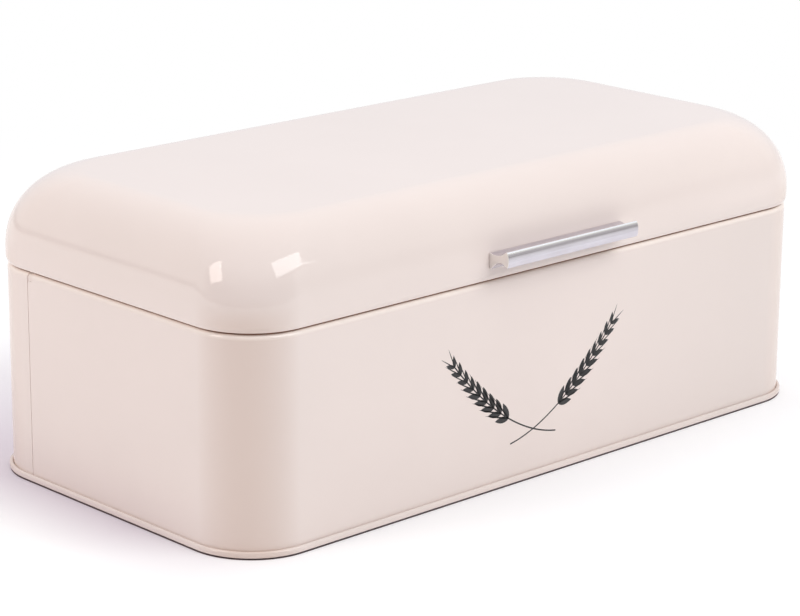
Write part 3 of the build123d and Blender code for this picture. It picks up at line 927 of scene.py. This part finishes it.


def pale_floor():
    """Pale paper, with a shadow painted dark right under the box and softly left of it and behind it. It
    is plain white with distance for rays that show the backdrop."""
    f = Finish("pale floor")
    x, y, z = f.split(f.place)
    reach = f.math("SQRT", x * x + y * y)
    past_x = f.math("MAXIMUM", f.math("ABSOLUTE", x) - (half_length - corner_radius), 0)
    past_y = f.math("MAXIMUM", f.math("ABSOLUTE", y - middle_y) - (half_depth - corner_radius), 0)
    # Contact shadow painted under the box, out to just inside the bead; the glow is left out there too
    under = f.math("LESS_THAN", f.math("SQRT", past_x * past_x + past_y * past_y),
                   corner_radius + bead_reach - contact_inset)
    # Soft shadow painted left of the box and behind it
    past_left = f.math("MAXIMUM", 0 - x - half_length, 0)
    past_rear = f.math("MAXIMUM", y - middle_y - half_depth, 0) * shade_stretch
    from_box = f.math("SQRT", past_left * past_left + past_rear * past_rear)
    soft_shade = (f.between(from_box, *shade_reach) * f.between(y, *shade_front)
                  * f.between(x, *shade_right))
    pale = f.mix(soft_shade, f.mix(f.noise(3, 2), tint("F3F3F4"), tint("F6F6F7")), tint("D9D1DA"))
    paper = f.node("ShaderNodeBsdfDiffuse", None, {"Color": f.mix(under, pale, tint("85767A"))})
    glow = f.node("ShaderNodeEmission", None, {
        "Color": f.mix(under, (1, 1, 1, 1), (0, 0, 0, 1)), "Strength": 0.08})
    table = f.node("ShaderNodeAddShader", None, {0: paper, 1: glow})
    white = f.node("ShaderNodeEmission", None, {"Color": (1, 1, 1, 1), "Strength": 1.0})
    direct, mirrored = seen(f)
    shown = f.node("ShaderNodeMixShader", None, {
        0: f.between(reach, *floor_fade) * (direct + mirrored), 1: table, 2: white})
    f.tree.links.new(shown.socket, f.tree.nodes.new("ShaderNodeOutputMaterial").inputs[0])
    return f.material


floor_mesh = bpy.data.meshes.new("floor")
floor_mesh.from_pydata([(-floor_size, -floor_size, 0), (floor_size, -floor_size, 0),
                        (floor_size, floor_size, 0), (-floor_size, floor_size, 0)], [], [(0, 1, 2, 3)])
floor = bpy.data.objects.new("floor", floor_mesh)
bpy.context.scene.collection.objects.link(floor)
floor_mesh.materials.append(pale_floor())


# Studio: directions along the floor, and heights as the sine of the elevation
camera_side, right_side = (-0.69, -0.72), (0.72, -0.69)
dark_facing, rear_facing, above_rise = (0.15, 0.45), (-1.0, -0.3), (0.25, 0.85)
table_rise, table_end, table_side = (0.0, 0.02), (0.06, 0.1), (-0.9, -0.5)
flag_rise, flag_end, flag_side, flag_strength = (-0.02, 0.1), (0.14, 0.3), (0.5, 0.8), 0.4
never_zero = 0.0001


def studio():
    """Light from all round. It comes from above and from the sides, and the room is dark towards the
    camera. Rays that the object mirrors also meet the table's far edge and a dark flag at the right,
    and rays that show the backdrop meet plain white."""
    world = bpy.data.worlds.new("studio")
    world.use_nodes = True
    world.node_tree.nodes.clear()
    w = Graph(world.node_tree)
    x, y, z = w.split(w.node("ShaderNodeTexCoord", None, None, "Generated"))
    run = w.math("SQRT", x * x + y * y + never_zero)
    facing = (x * camera_side[0] + y * camera_side[1]) / run
    rightwards = (x * right_side[0] + y * right_side[1]) / run
    dark = w.between(facing, *dark_facing, ease="SMOOTHSTEP")
    rear = w.between(facing, *rear_facing, 1.0, 0.0, "SMOOTHSTEP")
    above = w.between(z, *above_rise, ease="SMOOTHSTEP")
    sides = w.mix(rear, (0.815, 0.81, 0.775, 1), (0.78, 0.8, 0.85, 1))
    light_colour = w.mix(above, w.mix(dark, sides, (0.04, 0.0, 0.0, 1)), (0.98, 1.0, 1.025, 1))
    direct, mirrored = seen(w)
    table_edge = (w.between(z, *table_rise) * w.between(z, *table_end, 1.0, 0.0)
                  * w.between(rightwards, *table_side, 1.0, 0.0))
    flag = (w.between(z, *flag_rise, ease="SMOOTHSTEP")
            * w.between(z, *flag_end, flag_strength, 0.0, "SMOOTHSTEP")
            * w.between(rightwards, *flag_side))
    room = w.node("ShaderNodeBackground", None, {
        "Color": w.mix(mirrored * (table_edge + flag), light_colour, (0.08, 0.06, 0.07, 1)),
        "Strength": 1.0})
    white = w.node("ShaderNodeBackground", None, {"Color": (1, 1, 1, 1), "Strength": 1.0})
    sky = w.node("ShaderNodeMixShader", None, {0: direct, 1: room, 2: white})
    w.tree.links.new(sky.socket, world.node_tree.nodes.new("ShaderNodeOutputWorld").inputs[0])
    return world


bpy.context.scene.world = studio()

# The photograph's viewpoint
view_heading, view_fall, view_roll = 0.7618, 0.2825, 0.0082      # radians
view_right, view_up, view_distance = -6.25 * MM, 64.2 * MM, 1554.8 * MM
image_width, focal_length = 800, 2813.5                          # pixels
forwards = Vector((math.sin(view_heading) * math.cos(view_fall),
                   math.cos(view_heading) * math.cos(view_fall), -math.sin(view_fall)))
level = Vector((math.cos(view_heading), -math.sin(view_heading), 0))
turned_view = Matrix.Rotation(view_roll, 3, -forwards)
right, up = turned_view @ level, turned_view @ level.cross(forwards)
camera = bpy.data.cameras.new("camera")
camera.sensor_width = 36
camera.lens = camera.sensor_width * focal_length / image_width
camera.clip_start, camera.clip_end = 0.05, 50
stand = bpy.data.objects.new("camera", camera)
bpy.context.scene.collection.objects.link(stand)
stand.matrix_world = Matrix((right, up, -forwards)).transposed().to_4x4()
stand.matrix_world.translation = (right * view_right + up * view_up - forwards * view_distance
                                  + Vector((0, middle_y, 0)))
bpy.context.scene.camera = stand
bpy.context.scene.view_settings.view_transform = "Standard"
